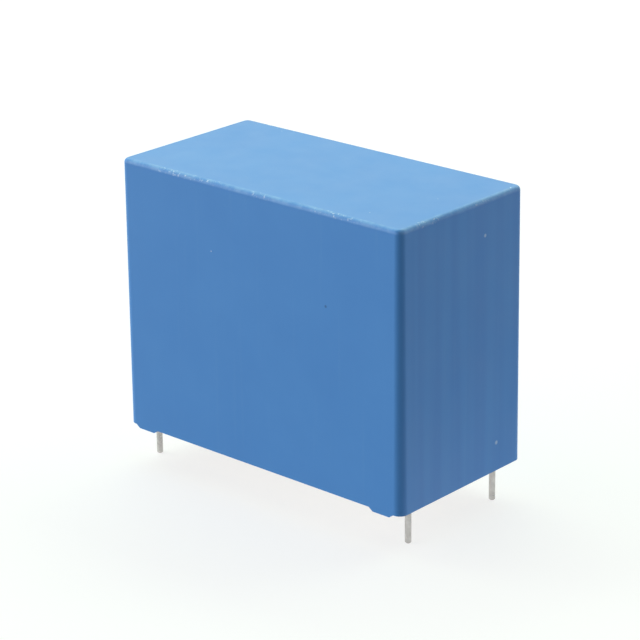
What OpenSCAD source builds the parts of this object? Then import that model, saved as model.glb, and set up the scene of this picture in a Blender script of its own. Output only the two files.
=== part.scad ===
// Box film capacitor for a circuit board: a flattened roll of metallized film, sprayed with
// metal at both ends and soldered to four straight leads, potted in a moulded box.
//
// Millimetres. The origin is the middle of the four leads in the seating plane, which is the
// underside of the feet. X runs along the box, Y across it and Z up. The leads point down.

/* [Case] */
// Length of the case along X, at its open end
case_l = 57; // [45:0.5:62]
// Width of the case along Y, at its open end
case_w = 29; // [24:0.1:36]
// Height of the case from the seating plane to its top
case_h = 44.9; // [38:0.1:52]
// Thickness of the walls and of the top
wall_t = 1.2; // [0.9:0.05:1.25]
// Outside radius of the four upright corners, at the open end
corner_r = 1.4; // [1.3:0.05:3]
// Inside radius of the same corners
inner_r = 0.8; // [0.75:0.05:1.5]
// Radius of the rounded edge round the top
top_r = 0.7; // [0.3:0.05:0.95]
// Radius inside, where the walls meet the top
ceiling_r = 0.4; // [0.2:0.05:0.4]
// Draft of every wall, in degrees
draft = 0.3; // [0:0.05:0.4]

/* [Feet] */
// Height of the feet, which hold the rim clear of the board
foot_h = 0.55; // [0.3:0.05:0.8]
// Length of a foot along X where it stands on the board
foot_l = 3.2; // [2:0.1:3.6]
// Distance along X from the end of the case to the middle of a foot
foot_inset = 3.9; // [3.6:0.1:8]
// How far each sloped end of a foot runs out, per millimetre of height
foot_slope = 1.4; // [0:0.1:1.5]

/* [Leads] */
// Distance along X from the end of the case to the middle of a lead
lead_inset = 2.25; // [2.2:0.05:4]
// Distance along Y from the side of the case to the middle of a lead
lead_side = 4.35; // [4.3:0.05:9]
// Diameter of a lead
lead_d = 1; // [0.8:0.05:1.3]
// Length of a lead below the seating plane
lead_l = 5.65; // [3:0.05:12]
// Chamfer round the cut end of a lead
lead_chamfer = 0.15; // [0.05:0.05:0.3]
// Length over which a lead narrows above the rim, before its flattened part
neck_l = 2; // [1.6:0.1:2.4]
// Diameter at the narrow end of that length
neck_d = 0.85; // [0.7:0.05:1]
// Thickness of the flattened part of a lead, inside the box
flat_t = 0.5; // [0.4:0.02:0.8]
// How far the flattened part reaches down over the neck
flat_lap = 0.4; // [0.2:0.1:0.6]
// Width of the flattened part of a lead
flat_w = 1.6; // [1.3:0.1:1.8]
// Height above the seating plane where the flattened part ends
flat_top = 25; // [21:0.5:28]

/* [Film element] */
// Cover of resin between the element and each long wall
cover_side = 0.8; // [0.6:0.05:0.9]
// Cover of resin between the element and the top
cover_top = 1; // [0.6:0.1:3]
// Cover of resin between the element and the face of the seal
cover_seal = 2.6; // [1.5:0.1:5]
// Thickness of the plain film wrapped round the element
wrap_t = 0.25; // [0.15:0.05:0.35]
// Thickness of the blank turns at the heart of the element
core_t = 0.7; // [0.4:0.1:1.6]
// Height of those turns, pressed flat
core_h = 16; // [12:0.5:20]
// Thickness of the metal sprayed on each end of the element
spray_t = 0.5; // [0.3:0.05:0.8]
// Radius round the outer edge of the sprayed metal
spray_r = 0.25; // [0.1:0.05:0.28]

/* [Solder] */
// Height above the seating plane of the middle of each solder joint
solder_z = 21; // [18:0.5:23]
// Length of a joint between the middles of its round ends
solder_l = 4; // [2:0.5:6]
// How far the solder reaches past each side of the flattened lead, level with its outer face
solder_side = 0.1; // [0.05:0.05:0.15]
// Thickness of the solder over the flattened lead
solder_cover = 0.3; // [0.3:0.05:0.4]

/* [Seal] */
// Depth of the seal's face below the rim
seal_depth = 0.6; // [0.5:0.05:1.4]
// Radius of the fillet where the resin climbs the walls
wall_fillet = 0.5; // [0.2:0.05:0.5]
// Radius of the fillet where the resin climbs each lead
lead_fillet = 0.3; // [0.2:0.05:0.35]
// Thickness of the resin at the upper edge of either fillet
fillet_edge = 0.06; // [0.04:0.01:0.1]

/* [View] */
// Which sub-part is drawn

/* [Hidden] */
$fn = 96;

// overshoot of a cutting shape past the face that it cuts
cut = 1;
lean = tan(draft);

// the hollow of the case
bay_l = case_l - 2 * wall_t;
bay_w = case_w - 2 * wall_t;
bay_top = case_h - wall_t;

// the rim, and the face of the seal inside it
rim_z = foot_h;
seal_z = rim_z + seal_depth;

// leads: straight up to the rim, then narrower up to the flattened part inside the seal
lead_x = case_l / 2 - lead_inset;
lead_y = case_w / 2 - lead_side;
lead_r = lead_d / 2;
neck_top = rim_z + neck_l;
flat_z = neck_top - flat_lap;

// film element: its ends sit where the sprayed metal meets the flattened leads
contact_x = lead_x - flat_t / 2;
winding_l = 2 * (contact_x - spray_t);
element_z = seal_z + cover_seal;
element_h = bay_top - cover_top - element_z;
element_t = bay_w - 2 * bay_top * lean - 2 * cover_side;
element_mid = element_z + element_h / 2;
winding_h = element_h - 2 * wrap_t;
winding_t = element_t - 2 * wrap_t;

// solder: the radius that gives both its cover and its reach, and how deep its middle lies
// below the face of the sprayed metal
solder_reach = flat_w / 2 + solder_side;
solder_r = (pow(solder_reach, 2) + pow(solder_cover, 2)) / (2 * solder_cover);
solder_sunk = solder_r - solder_cover - flat_t;

// ---- shapes used by several sub-parts ----

// Upright section of a wall's outer skin and the edge over it, drawn outward from the middle
// of a corner: it reaches r in the seating plane and leans in to a rounded edge at the top.
module skin_section(r, z0, z1, edge_r) {
    rise = z1 - edge_r;
    arc_x = r - rise * lean - edge_r / cos(draft);
    intersection() {
        translate([0, z0]) square([r + cut, z1 - z0]);
        union() {
            polygon([
                [0, z0], [r - z0 * lean, z0],
                [arc_x + edge_r * cos(draft), rise + edge_r * sin(draft)],
                [arc_x, rise], [arc_x, z1], [0, z1]
            ]);
            translate([arc_x, rise]) circle(r = edge_r);
        }
    }
}

// A box with leaning walls, round upright corners and a round edge along its top: a plain
// block with one section run round it, straight along the sides and turned at the corners
module drafted_box(l, w, z0, z1, r, edge_r) {
    straight = [l - 2 * r, w - 2 * r];
    translate([-straight.x / 2, -straight.y / 2, z0]) cube([straight.x, straight.y, z1 - z0]);
    for (quarter = [0:3]) {
        along = straight[quarter % 2];
        away = straight[(quarter + 1) % 2];
        rotate(90 * quarter) {
            translate([0, -away / 2, 0])
                rotate([90, 0, -90]) linear_extrude(along, center = true)
                    skin_section(r, z0, z1, edge_r);
            translate([along / 2, away / 2, 0])
                rotate_extrude(angle = 90) skin_section(r, z0, z1, edge_r);
        }
    }
}

// Section of the pressed roll: straight sides between two half circles
module roll_section(h, t) {
    square([t, h - t], center = true);
    for (end = [-1, 1])
        translate([0, end * (h - t) / 2]) circle(d = t);
}

// The pressed roll, lying along X
module roll(l, h, t) {
    translate([0, 0, element_mid])
        rotate([90, 0, 90])
            linear_extrude(l, center = true) roll_section(h, t);
}

// ---- case ----

module case() {
    color([0.26, 0.53, 0.8])
        difference() {
            drafted_box(case_l, case_w, 0, case_h, corner_r, top_r);
            drafted_box(bay_l, bay_w, -cut, bay_top, inner_r, ceiling_r);
            rim_relief();
        }
}

// What is cut off the rim, so that only the feet reach the board
module rim_relief() {
    run_out = foot_slope * foot_h;
    far = case_l / 2 + cut;
    foot_x = case_l / 2 - foot_inset;
    inner = foot_x - foot_l / 2;
    outer = foot_x + foot_l / 2;
    rotate([90, 0, 0])
        linear_extrude(case_w + 2 * cut, center = true) {
            polygon([
                [-inner, 0], [-inner, -cut], [inner, -cut], [inner, 0],
                [inner - run_out, rim_z], [-inner + run_out, rim_z]
            ]);
            for (side = [0, 1])
                mirror([side, 0])
                    polygon([
                        [outer, 0], [outer, -cut], [far, -cut], [far, rim_z],
                        [outer + run_out, rim_z]
                    ]);
        }
}

// ---- seal ----

module resin_seal() {
    color([0.8, 0.78, 0.7])
        difference() {
            union() {
                difference() {
                    drafted_box(bay_l, bay_w, seal_z - wall_fillet, bay_top, inner_r, ceiling_r);
                    drafted_box(bay_l - 2 * fillet_edge, bay_w - 2 * fillet_edge, -cut, seal_z,
                                inner_r - fillet_edge, wall_fillet);
                }
                at_leads() lead_meniscus();
            }
            roll(winding_l, element_h, element_t);
            for (end = [-1, 1])
                end_contact(end);
            at_leads() lead();
            for (end = [-1, 1], side = [-1, 1])
                solder(end, side);
        }
}

// Where the resin climbs a lead
module lead_meniscus() {
    rotate_extrude()
        difference() {
            translate([0, seal_z - lead_fillet])
                square([lead_r + fillet_edge + lead_fillet, lead_fillet + fillet_edge]);
            translate([lead_r + fillet_edge + lead_fillet, seal_z - lead_fillet])
                circle(r = lead_fillet);
        }
}

// ---- film element ----

module outer_wrap() {
    color([0.93, 0.91, 0.84])
        difference() {
            roll(winding_l, element_h, element_t);
            roll(winding_l + 2 * cut, winding_h, winding_t);
        }
}

module film_winding() {
    color([0.74, 0.75, 0.77])
        difference() {
            roll(winding_l, winding_h, winding_t);
            roll(winding_l + 2 * cut, core_h, core_t);
        }
}

module winding_core() {
    color([0.9, 0.9, 0.88])
        roll(winding_l, core_h, core_t);
}

// Metal sprayed over the turns of one end, with a soft outer edge
module end_contact(end) {
    half_t = winding_t / 2;
    straight = winding_h - winding_t;
    translate([end * (contact_x - spray_t), 0, element_mid])
        rotate([90, 0, end * 90]) {
            rotate([90, 0, 0])
                linear_extrude(straight, center = true)
                    for (side = [0, 1])
                        mirror([side, 0]) contact_section(half_t);
            for (y = [-1, 1])
                translate([0, y * straight / 2, 0]) rotate_extrude() contact_section(half_t);
        }
}

module contact_section(half_t) {
    square([half_t, spray_t - spray_r]);
    square([half_t - spray_r, spray_t]);
    translate([half_t - spray_r, spray_t - spray_r]) circle(r = spray_r);
}

module end_contact_left() {
    color([0.62, 0.63, 0.64]) end_contact(-1);
}

module end_contact_right() {
    color([0.62, 0.63, 0.64]) end_contact(1);
}

// ---- leads and their joints ----

module at_leads() {
    for (end = [-1, 1], side = [-1, 1])
        translate([end * lead_x, side * lead_y, 0]) children();
}

// A tinned wire: straight up to the rim, a narrower neck inside the seal, and then rolled flat
// where it lies on the sprayed metal
module lead() {
    rotate_extrude()
        polygon([
            [0, -lead_l], [lead_r - lead_chamfer, -lead_l], [lead_r, lead_chamfer - lead_l],
            [lead_r, rim_z], [neck_d / 2, neck_top], [0, neck_top]
        ]);
    translate([-flat_t / 2, -flat_w / 2, flat_z])
        cube([flat_t, flat_w, flat_top - flat_z]);
}

module placed_lead(end, side) {
    color([0.78, 0.78, 0.77])
        translate([end * lead_x, side * lead_y, 0]) lead();
}

module lead_left_front() { placed_lead(-1, -1); }
module lead_left_back() { placed_lead(-1, 1); }
module lead_right_front() { placed_lead(1, -1); }
module lead_right_back() { placed_lead(1, 1); }

// A bead of solder over one lead, a slice of a round-ended bar lying on the sprayed metal
module solder(end, side) {
    difference() {
        intersection() {
            translate([end * (contact_x - solder_sunk), side * lead_y, solder_z]) {
                cylinder(r = solder_r, h = solder_l, center = true);
                for (z = [-1, 1])
                    translate([0, 0, z * solder_l / 2]) sphere(r = solder_r);
            }
            translate([end * (contact_x + solder_r), side * lead_y, solder_z])
                cube([2 * solder_r, 4 * solder_r, solder_l + 4 * solder_r], center = true);
        }
        translate([end * lead_x, side * lead_y, 0]) lead();
    }
}

module joint(end, side) {
    color([0.7, 0.7, 0.71]) solder(end, side);
}

module solder_left_front() { joint(-1, -1); }
module solder_left_back() { joint(-1, 1); }
module solder_right_front() { joint(1, -1); }
module solder_right_back() { joint(1, 1); }

case();
resin_seal();
outer_wrap();
film_winding();
winding_core();
end_contact_left();
end_contact_right();
lead_left_front();
lead_left_back();
lead_right_front();
lead_right_back();
solder_left_front();
solder_left_back();
solder_right_front();
solder_right_back();
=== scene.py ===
"""Looks of the box film capacitor: finishes, light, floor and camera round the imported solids.

Metres, in the part's own frame: X along the box, Y across it, Z up, origin in the seating plane
in the middle of the four leads.
"""
import math

import bpy
from mathutils import Matrix, Vector


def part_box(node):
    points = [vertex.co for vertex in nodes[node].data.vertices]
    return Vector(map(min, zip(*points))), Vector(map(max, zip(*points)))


MM = 0.001
WHITE = (1, 1, 1, 1)
# The Mix node's sockets for colours, which it has beside those for numbers and vectors
MIX_A, MIX_B, MIX_RESULT = 6, 7, 2

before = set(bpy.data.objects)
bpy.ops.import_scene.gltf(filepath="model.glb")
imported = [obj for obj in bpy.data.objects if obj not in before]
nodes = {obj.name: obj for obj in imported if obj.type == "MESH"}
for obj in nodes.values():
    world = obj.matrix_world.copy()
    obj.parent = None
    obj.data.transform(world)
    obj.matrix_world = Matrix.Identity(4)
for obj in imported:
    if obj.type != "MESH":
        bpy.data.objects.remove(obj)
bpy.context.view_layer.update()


# ---- colours, as 0 to 255 screen values ----

CASE_BLUE = (72, 139, 211)
CASE_BLUE_LIGHT = (76, 143, 214)
CASE_STREAK = (92, 153, 213)
CASE_END_BAND = (62, 122, 200)
CASE_SCUFF_AND_HIGHLIGHT = (150, 196, 234)
CASE_PAINTED_GLINT = (205, 228, 244)
CASE_SPECK = (225, 232, 238)
PALE_MARK = (190, 215, 238)
DARK_MARK = (28, 70, 124)
RESIN = (197, 191, 174)
RESIN_LIGHT = (205, 200, 184)
RESIN_FILLER = (176, 168, 150)
RESIN_BUBBLE_SHADE = (150, 143, 126)
TIN = (176, 174, 171)
TIN_LIGHT = (198, 196, 193)
COPPER = (198, 124, 88)
SOLDER = (186, 187, 188)
SOLDER_LIGHT = (208, 208, 207)
ZINC = (126, 128, 130)
ZINC_LIGHT = (176, 177, 178)
METALLIZED = (196, 198, 205)
METALLIZED_EDGE = (150, 152, 160)
WRAP = (236, 232, 218)
WRAP_EDGE = (214, 209, 192)
BLANK = (233, 233, 228)
BLANK_EDGE = (215, 215, 210)


# ---- measures, in mm ----

# The case's rim, scuffed and painted with a pale highlight line and glints: how far in from the
# walls it reaches and how softly it ends there, and how far down from the top it ends and is still
# full
RIM_INWARD, RIM_SOFT = 1.0, 0.1
RIM_DOWN, RIM_DOWN_FULL = 0.8, 0.35
# Marks on the case that have a place of their own: place, radius, colour
MARKS = (
    ((28.29, 5.1, 39.3), 0.17, PALE_MARK),
    ((28.47, 8.2, 5.2), 0.2, PALE_MARK),
    ((14, -14.34, 30.3), 0.14, DARK_MARK),
)
MARK_STRENGTH = 0.6
# How far above its foot a lead still shows the bare copper of its cut
COPPER_REACH = 0.02


# ---- node trees ----

def linear(r, g, b):
    """A colour given as 0 to 255 screen values, in Blender's linear light."""
    def lift(v):
        v /= 255
        return v / 12.92 if v <= 0.04045 else ((v + 0.055) / 1.055) ** 2.4
    return (lift(r), lift(g), lift(b), 1)


class Shader:
    """The node tree of a material or a world, with short ways to add and join nodes."""

    def __init__(self, owner, output="ShaderNodeOutputMaterial"):
        self.owner = owner
        owner.use_nodes = True
        self.tree = owner.node_tree
        self.tree.nodes.clear()
        self.output = self.add(output)

    def add(self, kind, **settings):
        node = self.tree.nodes.new(kind)
        for key, value in settings.items():
            setattr(node, key, value)
        return node

    def put(self, socket, value):
        """Sets a socket to a value, or joins another node's output to it."""
        if isinstance(value, bpy.types.NodeSocket):
            self.tree.links.new(value, socket)
        else:
            socket.default_value = value

    # numbers

    def math(self, operation, a, b=0.0):
        node = self.add("ShaderNodeMath", operation=operation)
        self.put(node.inputs[0], a)
        self.put(node.inputs[1], b)
        return node.outputs[0]

    def times(self, a, b):
        return self.math("MULTIPLY", a, b)

    def past(self, distance, limit):
        """How far a distance, to either side of zero, goes past a limit."""
        return self.math("SUBTRACT", self.math("ABSOLUTE", distance), limit)

    def ramp(self, value, from_low, from_high, to_low=0.0, to_high=1.0):
        node = self.add("ShaderNodeMapRange", clamp=True)
        numbers = (value, from_low, from_high, to_low, to_high)
        for socket, number in zip(node.inputs, numbers):
            self.put(socket, number)
        return node.outputs[0]

    # places and patterns on the object

    def place(self):
        return self.add("ShaderNodeTexCoord").outputs["Object"]

    def split(self, vector):
        node = self.add("ShaderNodeSeparateXYZ")
        self.put(node.inputs[0], vector)
        return node.outputs

    def axes(self):
        return self.split(self.place())

    def facing(self):
        """The way the surface faces, in the object's own axes."""
        return self.split(self.add("ShaderNodeTexCoord").outputs["Normal"])

    def stretched(self, scale):
        """The place on the object in millimetres, stretched by a scale along each axis."""
        node = self.add("ShaderNodeMapping")
        self.put(node.inputs["Vector"], self.place())
        node.inputs["Scale"].default_value = [s / MM for s in scale]
        return node.outputs[0]

    def noise(self, size_mm, detail=2.0, rough=0.5, scale=(1, 1, 1)):
        """Even noise from 0 to 1 whose lumps are about size_mm across."""
        node = self.add("ShaderNodeTexNoise")
        self.put(node.inputs["Vector"], self.stretched([s / size_mm for s in scale]))
        node.inputs["Scale"].default_value = 1.0
        node.inputs["Detail"].default_value = detail
        node.inputs["Roughness"].default_value = rough
        return node.outputs["Fac"]

    def spots(self, size_mm, inner, outer, share):
        """Round spots in a share of the cells of size_mm: full up to the inner radius and gone
        past the outer one, both as shares of the cell's size."""
        cells = self.add("ShaderNodeTexVoronoi", feature="F1")
        self.put(cells.inputs["Vector"], self.stretched([1 / size_mm] * 3))
        cells.inputs["Scale"].default_value = 1.0
        spot = self.ramp(cells.outputs["Distance"], inner, outer, 1.0, 0.0)
        pick = self.add("ShaderNodeSeparateColor")
        self.put(pick.inputs[0], cells.outputs["Color"])
        return self.times(spot, self.math("LESS_THAN", pick.outputs[0], share))

    def dot(self, place_mm, radius_mm, full):
        """A round mark at a place on the object, which fades out by twice its radius."""
        gap = self.add("ShaderNodeVectorMath", operation="DISTANCE")
        self.put(gap.inputs[0], self.place())
        gap.inputs[1].default_value = [c * MM for c in place_mm]
        radius = radius_mm * MM
        return self.ramp(gap.outputs["Value"], radius, 2 * radius, full, 0.0)

    def bump(self, height, depth_mm, under=None):
        node = self.add("ShaderNodeBump")
        node.inputs["Strength"].default_value = 1.0
        node.inputs["Distance"].default_value = depth_mm * MM
        self.put(node.inputs["Height"], height)
        if under is not None:
            self.put(node.inputs["Normal"], under)
        return node.outputs[0]

    # colours and surfaces

    def blend(self, share, a, b):
        """From colour a to colour b. Either is a socket or screen values."""
        node = self.add("ShaderNodeMix", data_type="RGBA")
        self.put(node.inputs["Factor"], share)
        for slot, colour in ((MIX_A, a), (MIX_B, b)):
            is_socket = isinstance(colour, bpy.types.NodeSocket)
            self.put(node.inputs[slot], colour if is_socket else linear(*colour))
        return node.outputs[MIX_RESULT]

    def diffuse(self, level):
        node = self.add("ShaderNodeBsdfDiffuse")
        node.inputs["Color"].default_value = (level, level, level, 1)
        return node.outputs[0]

    def mix(self, share, a, b):
        """From surface a to surface b."""
        node = self.add("ShaderNodeMixShader")
        for socket, value in zip(node.inputs, (share, a, b)):
            self.put(socket, value)
        return node.outputs[0]

    def seen_rays(self):
        """1 where a ray comes from the camera or from a gloss or glass, 0 where it only lights."""
        path = self.add("ShaderNodeLightPath").outputs
        seen = self.math("MAXIMUM", path["Is Camera Ray"], path["Is Glossy Ray"])
        return self.math("MAXIMUM", seen, path["Is Transmission Ray"])

    def wear(self, surface):
        """Makes that surface the one that shows, and returns the material or world."""
        self.put(self.output.inputs["Surface"], surface)
        return self.owner

    def principled(self, **inputs):
        """The Principled shader, with its inputs named as in Blender, _ for a space."""
        node = self.add("ShaderNodeBsdfPrincipled")
        for key, value in inputs.items():
            self.put(node.inputs[key.replace("_", " ")], value)
        return self.wear(node.outputs[0])


def new_material(name):
    return Shader(bpy.data.materials.new(name))


# ---- materials ----

def moulded_blue():
    """The case: satin blue plastic, fine-grained, streaked where it slid out of its tool, with a
    rim that is scuffed and nicked from handling and carries a painted highlight line and painted
    glints, and a few stray specks."""
    s = new_material("moulded_blue")
    _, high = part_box("case")
    x, y, z = s.axes()

    cloud = s.noise(14, detail=3, rough=0.55)
    streak = s.noise(0.9, scale=(1, 1, 0.03))
    tone = s.blend(s.ramp(cloud, 0.3, 0.7), CASE_BLUE, CASE_BLUE_LIGHT)
    tone = s.blend(s.ramp(streak, 0.6, 0.8, 0, 0.18), tone, CASE_STREAK)

    on_end = s.ramp(s.math("ABSOLUTE", s.facing()[0]), 0.8, 0.95)
    band = s.ramp(s.noise(2.6, scale=(1, 1, 0.02)), 0.4, 0.6, 0, 0.3)
    tone = s.blend(s.times(on_end, band), tone, CASE_END_BAND)

    near_wall = s.math("MAXIMUM", s.past(x, high.x - RIM_INWARD * MM),
                       s.past(y, high.y - RIM_INWARD * MM))
    rim = s.times(s.ramp(near_wall, -RIM_SOFT * MM, RIM_SOFT * MM),
                  s.ramp(z, high.z - RIM_DOWN * MM, high.z - RIM_DOWN_FULL * MM))
    # A pale line along the rim: partly scuffing from handling, partly a painted highlight along
    # the edge
    scuff_and_highlight = s.ramp(s.noise(1.7, detail=4, rough=0.65), 0.42, 0.62, 0, 0.26)
    tone = s.blend(s.times(rim, scuff_and_highlight), tone, CASE_SCUFF_AND_HIGHLIGHT)
    # Painted glints: small bright spots on the rim that stand in for light catching its nicks and
    # burrs
    painted_glint = s.times(s.ramp(s.noise(0.55, detail=3, rough=0.7), 0.57, 0.67),
                   s.ramp(s.noise(6, detail=1), 0.48, 0.58, 0, 0.75))
    tone = s.blend(s.times(rim, painted_glint), tone, CASE_PAINTED_GLINT)

    speck = s.spots(3.2, 0.022, 0.045, share=0.12)
    tone = s.blend(s.times(speck, MARK_STRENGTH), tone, CASE_SPECK)
    for place, radius, colour in MARKS:
        tone = s.blend(s.dot(place, radius, MARK_STRENGTH), tone, colour)

    grain = s.bump(s.noise(0.16, detail=3, rough=0.6), 0.006)
    return s.principled(Base_Color=tone,
                        Roughness=s.ramp(s.noise(5, detail=3), 0.3, 0.7, 0.4, 0.48),
                        IOR=1.5, Specular_IOR_Level=0.38,
                        Normal=s.bump(streak, 0.004, grain))


def cast_resin():
    """The seal: pale potting resin, level and slightly glossy, with a few small bubbles whose
    hollows are darkened with painted shade.
    """
    s = new_material("cast_resin")
    cloud = s.noise(6)
    tone = s.blend(s.ramp(cloud, 0.3, 0.7), RESIN, RESIN_LIGHT)
    tone = s.blend(s.ramp(s.noise(0.12), 0.6, 0.75, 0, 0.25), tone, RESIN_FILLER)
    bubble = s.spots(2.6, 0.05, 0.1, share=0.2)
    # Painted shade: the bubbles are darkened where their hollows would lie in shade
    tone = s.blend(s.times(bubble, 0.4), tone, RESIN_BUBBLE_SHADE)
    level = s.bump(s.noise(4), 0.05)
    return s.principled(Base_Color=tone, Roughness=s.ramp(cloud, 0.3, 0.7, 0.22, 0.34), IOR=1.53,
                        Normal=s.bump(s.math("SUBTRACT", 1.0, bubble), 0.12, level))


def tinned_wire():
    """The leads: tinned wire with fine drawing lines, and bare copper where it was cut."""
    s = new_material("tinned_wire")
    lines = s.noise(0.09, scale=(1, 1, 0.02))
    blotch = s.noise(1.1, detail=3)
    tin = s.blend(s.ramp(blotch, 0.35, 0.65), TIN, TIN_LIGHT)
    foot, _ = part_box("lead_left_front")
    cut = s.math("LESS_THAN", s.axes()[2], foot.z + COPPER_REACH * MM)
    smear = s.ramp(s.noise(0.3), 0.4, 0.6, 0.35, 0.9)
    return s.principled(Base_Color=s.blend(s.times(cut, smear), tin, COPPER), Metallic=1.0,
                        Roughness=s.ramp(blotch, 0.3, 0.7, 0.24, 0.36),
                        Normal=s.bump(lines, 0.006))


def solder_metal():
    """The solder: bright and gently rippled."""
    s = new_material("solder_metal")
    wave = s.noise(0.7, detail=3)
    return s.principled(Base_Color=s.blend(s.ramp(wave, 0.3, 0.7), SOLDER, SOLDER_LIGHT),
                        Metallic=1.0, Roughness=s.ramp(wave, 0.3, 0.7, 0.2, 0.4),
                        Normal=s.bump(wave, 0.05))


def sprayed_zinc():
    """The ends of the element: sprayed metal, dull and granular."""
    s = new_material("sprayed_zinc")
    grain = s.noise(0.22, detail=4, rough=0.65)
    return s.principled(Base_Color=s.blend(s.ramp(grain, 0.3, 0.7), ZINC, ZINC_LIGHT),
                        Metallic=0.8, Roughness=0.62, Normal=s.bump(grain, 0.06))


def film(name, edge, face, turns_per_mm, roughness, metallic=0.0):
    """Wound film: its turns show as fine rings on the ends of the roll."""
    s = new_material(name)
    low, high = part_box("film_winding")
    mid = (low.z + high.z) / 2
    straight = ((high.z - low.z) - (high.y - low.y)) / 2
    _, y, z = s.axes()
    round_end = s.math("MAXIMUM", s.past(s.math("SUBTRACT", z, mid), straight), 0.0)
    ring = s.math("SQRT", s.math("ADD", s.times(y, y), s.times(round_end, round_end)))
    shade = s.ramp(s.math("SINE", s.times(ring, 2 * math.pi * turns_per_mm / MM)), -1, 1)
    tone = s.blend(shade, edge, face)
    tone = s.blend(s.ramp(s.noise(9, detail=3), 0.35, 0.65, 0, 0.3), tone, edge)
    return s.principled(Base_Color=tone, Metallic=metallic, Roughness=roughness,
                        Normal=s.bump(shade, 0.01))


def dress():
    """Gives each node its material, by how its name starts."""
    finishes = {
        "case": moulded_blue(),
        "resin_seal": cast_resin(),
        "lead_": tinned_wire(),
        "solder_": solder_metal(),
        "end_contact_": sprayed_zinc(),
        "film_winding": film("metallized_film", METALLIZED_EDGE, METALLIZED, turns_per_mm=4,
                             roughness=0.28, metallic=0.7),
        "outer_wrap": film("wrap_film", WRAP_EDGE, WRAP, turns_per_mm=8, roughness=0.18),
        "winding_core": film("blank_film", BLANK_EDGE, BLANK, turns_per_mm=8, roughness=0.22),
    }
    for name, node in nodes.items():
        finish = next(f for start, f in finishes.items() if name.startswith(start))
        node.data.materials.clear()
        node.data.materials.append(finish)


# ---- floor, light and camera ----

FLOOR_SIZE = 6.0
# The light that the floor is taken to get in the open, where 1 is white: its glow adds the rest
OPEN_FLOOR_LIGHT = 0.9
# The watts with which a small area lamp makes a white face 1 m away white
WATTS_TO_WHITE = math.pi ** 2
HIGH_TINT = (1, 1.23, 0.98)
FILL_TINT = (1.01, 1, 1.05)
# The camera's sensor, in mm as its lens is, and how near and how far it sees
SENSOR_WIDTH = 36
NEAREST, FARTHEST = 0.01, 20


def way_to(azimuth, elevation):
    """The way from the object to a place at that azimuth (from -Y towards +X) and elevation."""
    a, e = math.radians(azimuth), math.radians(elevation)
    return Vector((math.sin(a) * math.cos(e), -math.cos(a) * math.cos(e), math.sin(e)))


def add_object(name, data):
    holder = bpy.data.objects.new(name, data)
    bpy.context.scene.collection.objects.link(holder)
    return holder


def white_floor(level, bounce, held):
    """A plain white floor at that height. It throws bounce of its light back on the object, and
    the share held of its white darkens in the object's shadow. From below it is clear, and it
    lets the panel under it light the object as a white table would."""
    bpy.ops.mesh.primitive_plane_add(size=FLOOR_SIZE, location=(0, 0, level))
    floor = bpy.context.object
    floor.name = "floor"
    s = new_material("white_floor")
    glow = s.add("ShaderNodeEmission")
    glow.inputs["Strength"].default_value = 1 - held * OPEN_FLOOR_LIGHT
    seen = s.add("ShaderNodeAddShader")
    s.put(seen.inputs[0], s.diffuse(held))
    s.put(seen.inputs[1], glow.outputs[0])
    from_above = s.mix(s.seen_rays(), s.diffuse(bounce), seen.outputs[0])
    is_clear = s.math("MAXIMUM", s.add("ShaderNodeNewGeometry").outputs["Backfacing"],
                      s.add("ShaderNodeLightPath").outputs["Is Shadow Ray"])
    clear = s.add("ShaderNodeBsdfTransparent").outputs[0]
    floor.data.materials.append(s.wear(s.mix(is_clear, from_above, clear)))


def white_world(ambient):
    """White to the eye and in reflections, while it lights the object at the ambient level."""
    s = Shader(bpy.data.worlds.new("studio"), "ShaderNodeOutputWorld")
    skies = []
    for strength in (ambient, 1.0):
        sky = s.add("ShaderNodeBackground")
        sky.inputs["Color"].default_value = WHITE
        sky.inputs["Strength"].default_value = strength
        skies.append(sky.outputs[0])
    bpy.context.scene.world = s.wear(s.mix(s.seen_rays(), *skies))


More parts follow.
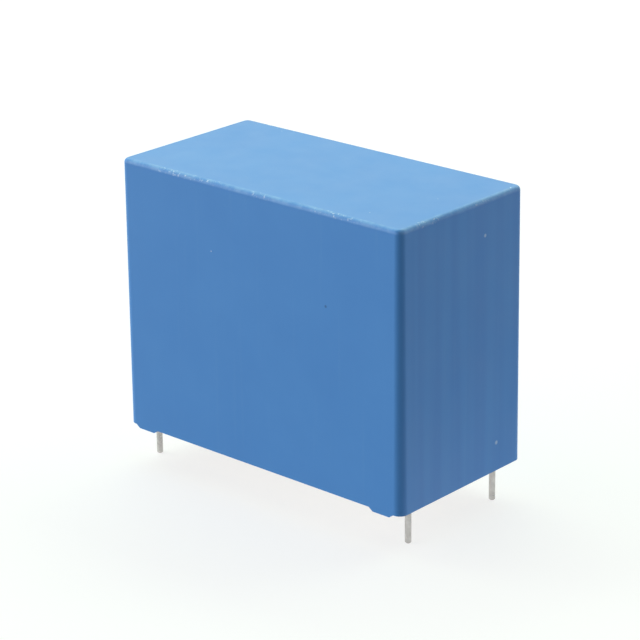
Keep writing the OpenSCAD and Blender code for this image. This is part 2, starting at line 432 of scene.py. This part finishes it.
def softbox(name, azimuth, elevation, distance, size, level, tint=(1, 1, 1),
            aim=Vector((0, 0, 0.02)), through_floor=False, only=()):
    """An area lamp at that azimuth, elevation and distance from aim. level is how bright a
    small lamp of its power would make a white face turned to it, where 1 is white: the larger
    the lamp is beside its distance, the less bright it makes it. A lamp that shines up through
    the floor is sampled by its own rays alone, which the floor lets by. only names the nodes
    that it lights, where it doesn't light them all."""
    away = way_to(azimuth, elevation)
    lamp = bpy.data.lights.new(name, "AREA")
    lamp.shape = "RECTANGLE"
    lamp.size, lamp.size_y = size
    lamp.energy = level * WATTS_TO_WHITE * distance ** 2
    lamp.color = tint
    lamp.cycles.use_multiple_importance_sampling = not through_floor
    holder = add_object(name, lamp)
    if only:
        lit = bpy.data.collections.new(name + "_lights")
        for node in only:
            lit.objects.link(nodes[node])
        holder.light_linking.receiver_collection = lit
    holder.location = aim + away * distance
    holder.rotation_euler = away.to_track_quat("Z", "Y").to_euler()


def camera(azimuth, elevation, roll, distance, lens, aim):
    """A camera that looks at aim from that azimuth, elevation and distance."""
    back = way_to(azimuth, elevation)
    data = bpy.data.cameras.new("camera")
    data.sensor_width = SENSOR_WIDTH
    data.lens = lens
    data.clip_start, data.clip_end = NEAREST, FARTHEST
    holder = add_object("camera", data)
    turn = back.to_track_quat("Z", "Y").to_matrix() @ Matrix.Rotation(math.radians(roll), 3, "Z")
    holder.matrix_world = Matrix.Translation(aim + back * distance) @ turn.to_4x4()
    bpy.context.scene.camera = holder


dress()
low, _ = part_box("lead_left_front")
white_floor(low.z, bounce=0.07, held=0.3)
white_world(ambient=0.1)
softbox("high_left", azimuth=-103, elevation=47, distance=2.0, size=(2.1, 1.25), level=0.555,
        tint=HIGH_TINT)
softbox("high_back", azimuth=-178, elevation=47, distance=1.6, size=(1.7, 1.0), level=0.495,
        tint=HIGH_TINT)
softbox("key", azimuth=-42, elevation=14, distance=2.4, size=(3.4, 1.8), level=1.1)
softbox("fill", azimuth=126, elevation=8, distance=1.2, size=(0.9, 0.6), level=0.285,
        tint=FILL_TINT)
# This panel lights no lead, where its gloss would add to the floor's and leave white patches
softbox("under", azimuth=0, elevation=-90, distance=0.04, size=(0.12, 0.09), level=2.1,
        aim=Vector((0.03, 0.018, 0)), through_floor=True, only=("case", "resin_seal"))
camera(azimuth=41.961, elevation=20.555, roll=-0.74, distance=0.39178, lens=141.81,
       aim=Vector((-0.04 * MM, 0, 20.684 * MM)))
bpy.context.scene.view_settings.view_transform = "Standard"
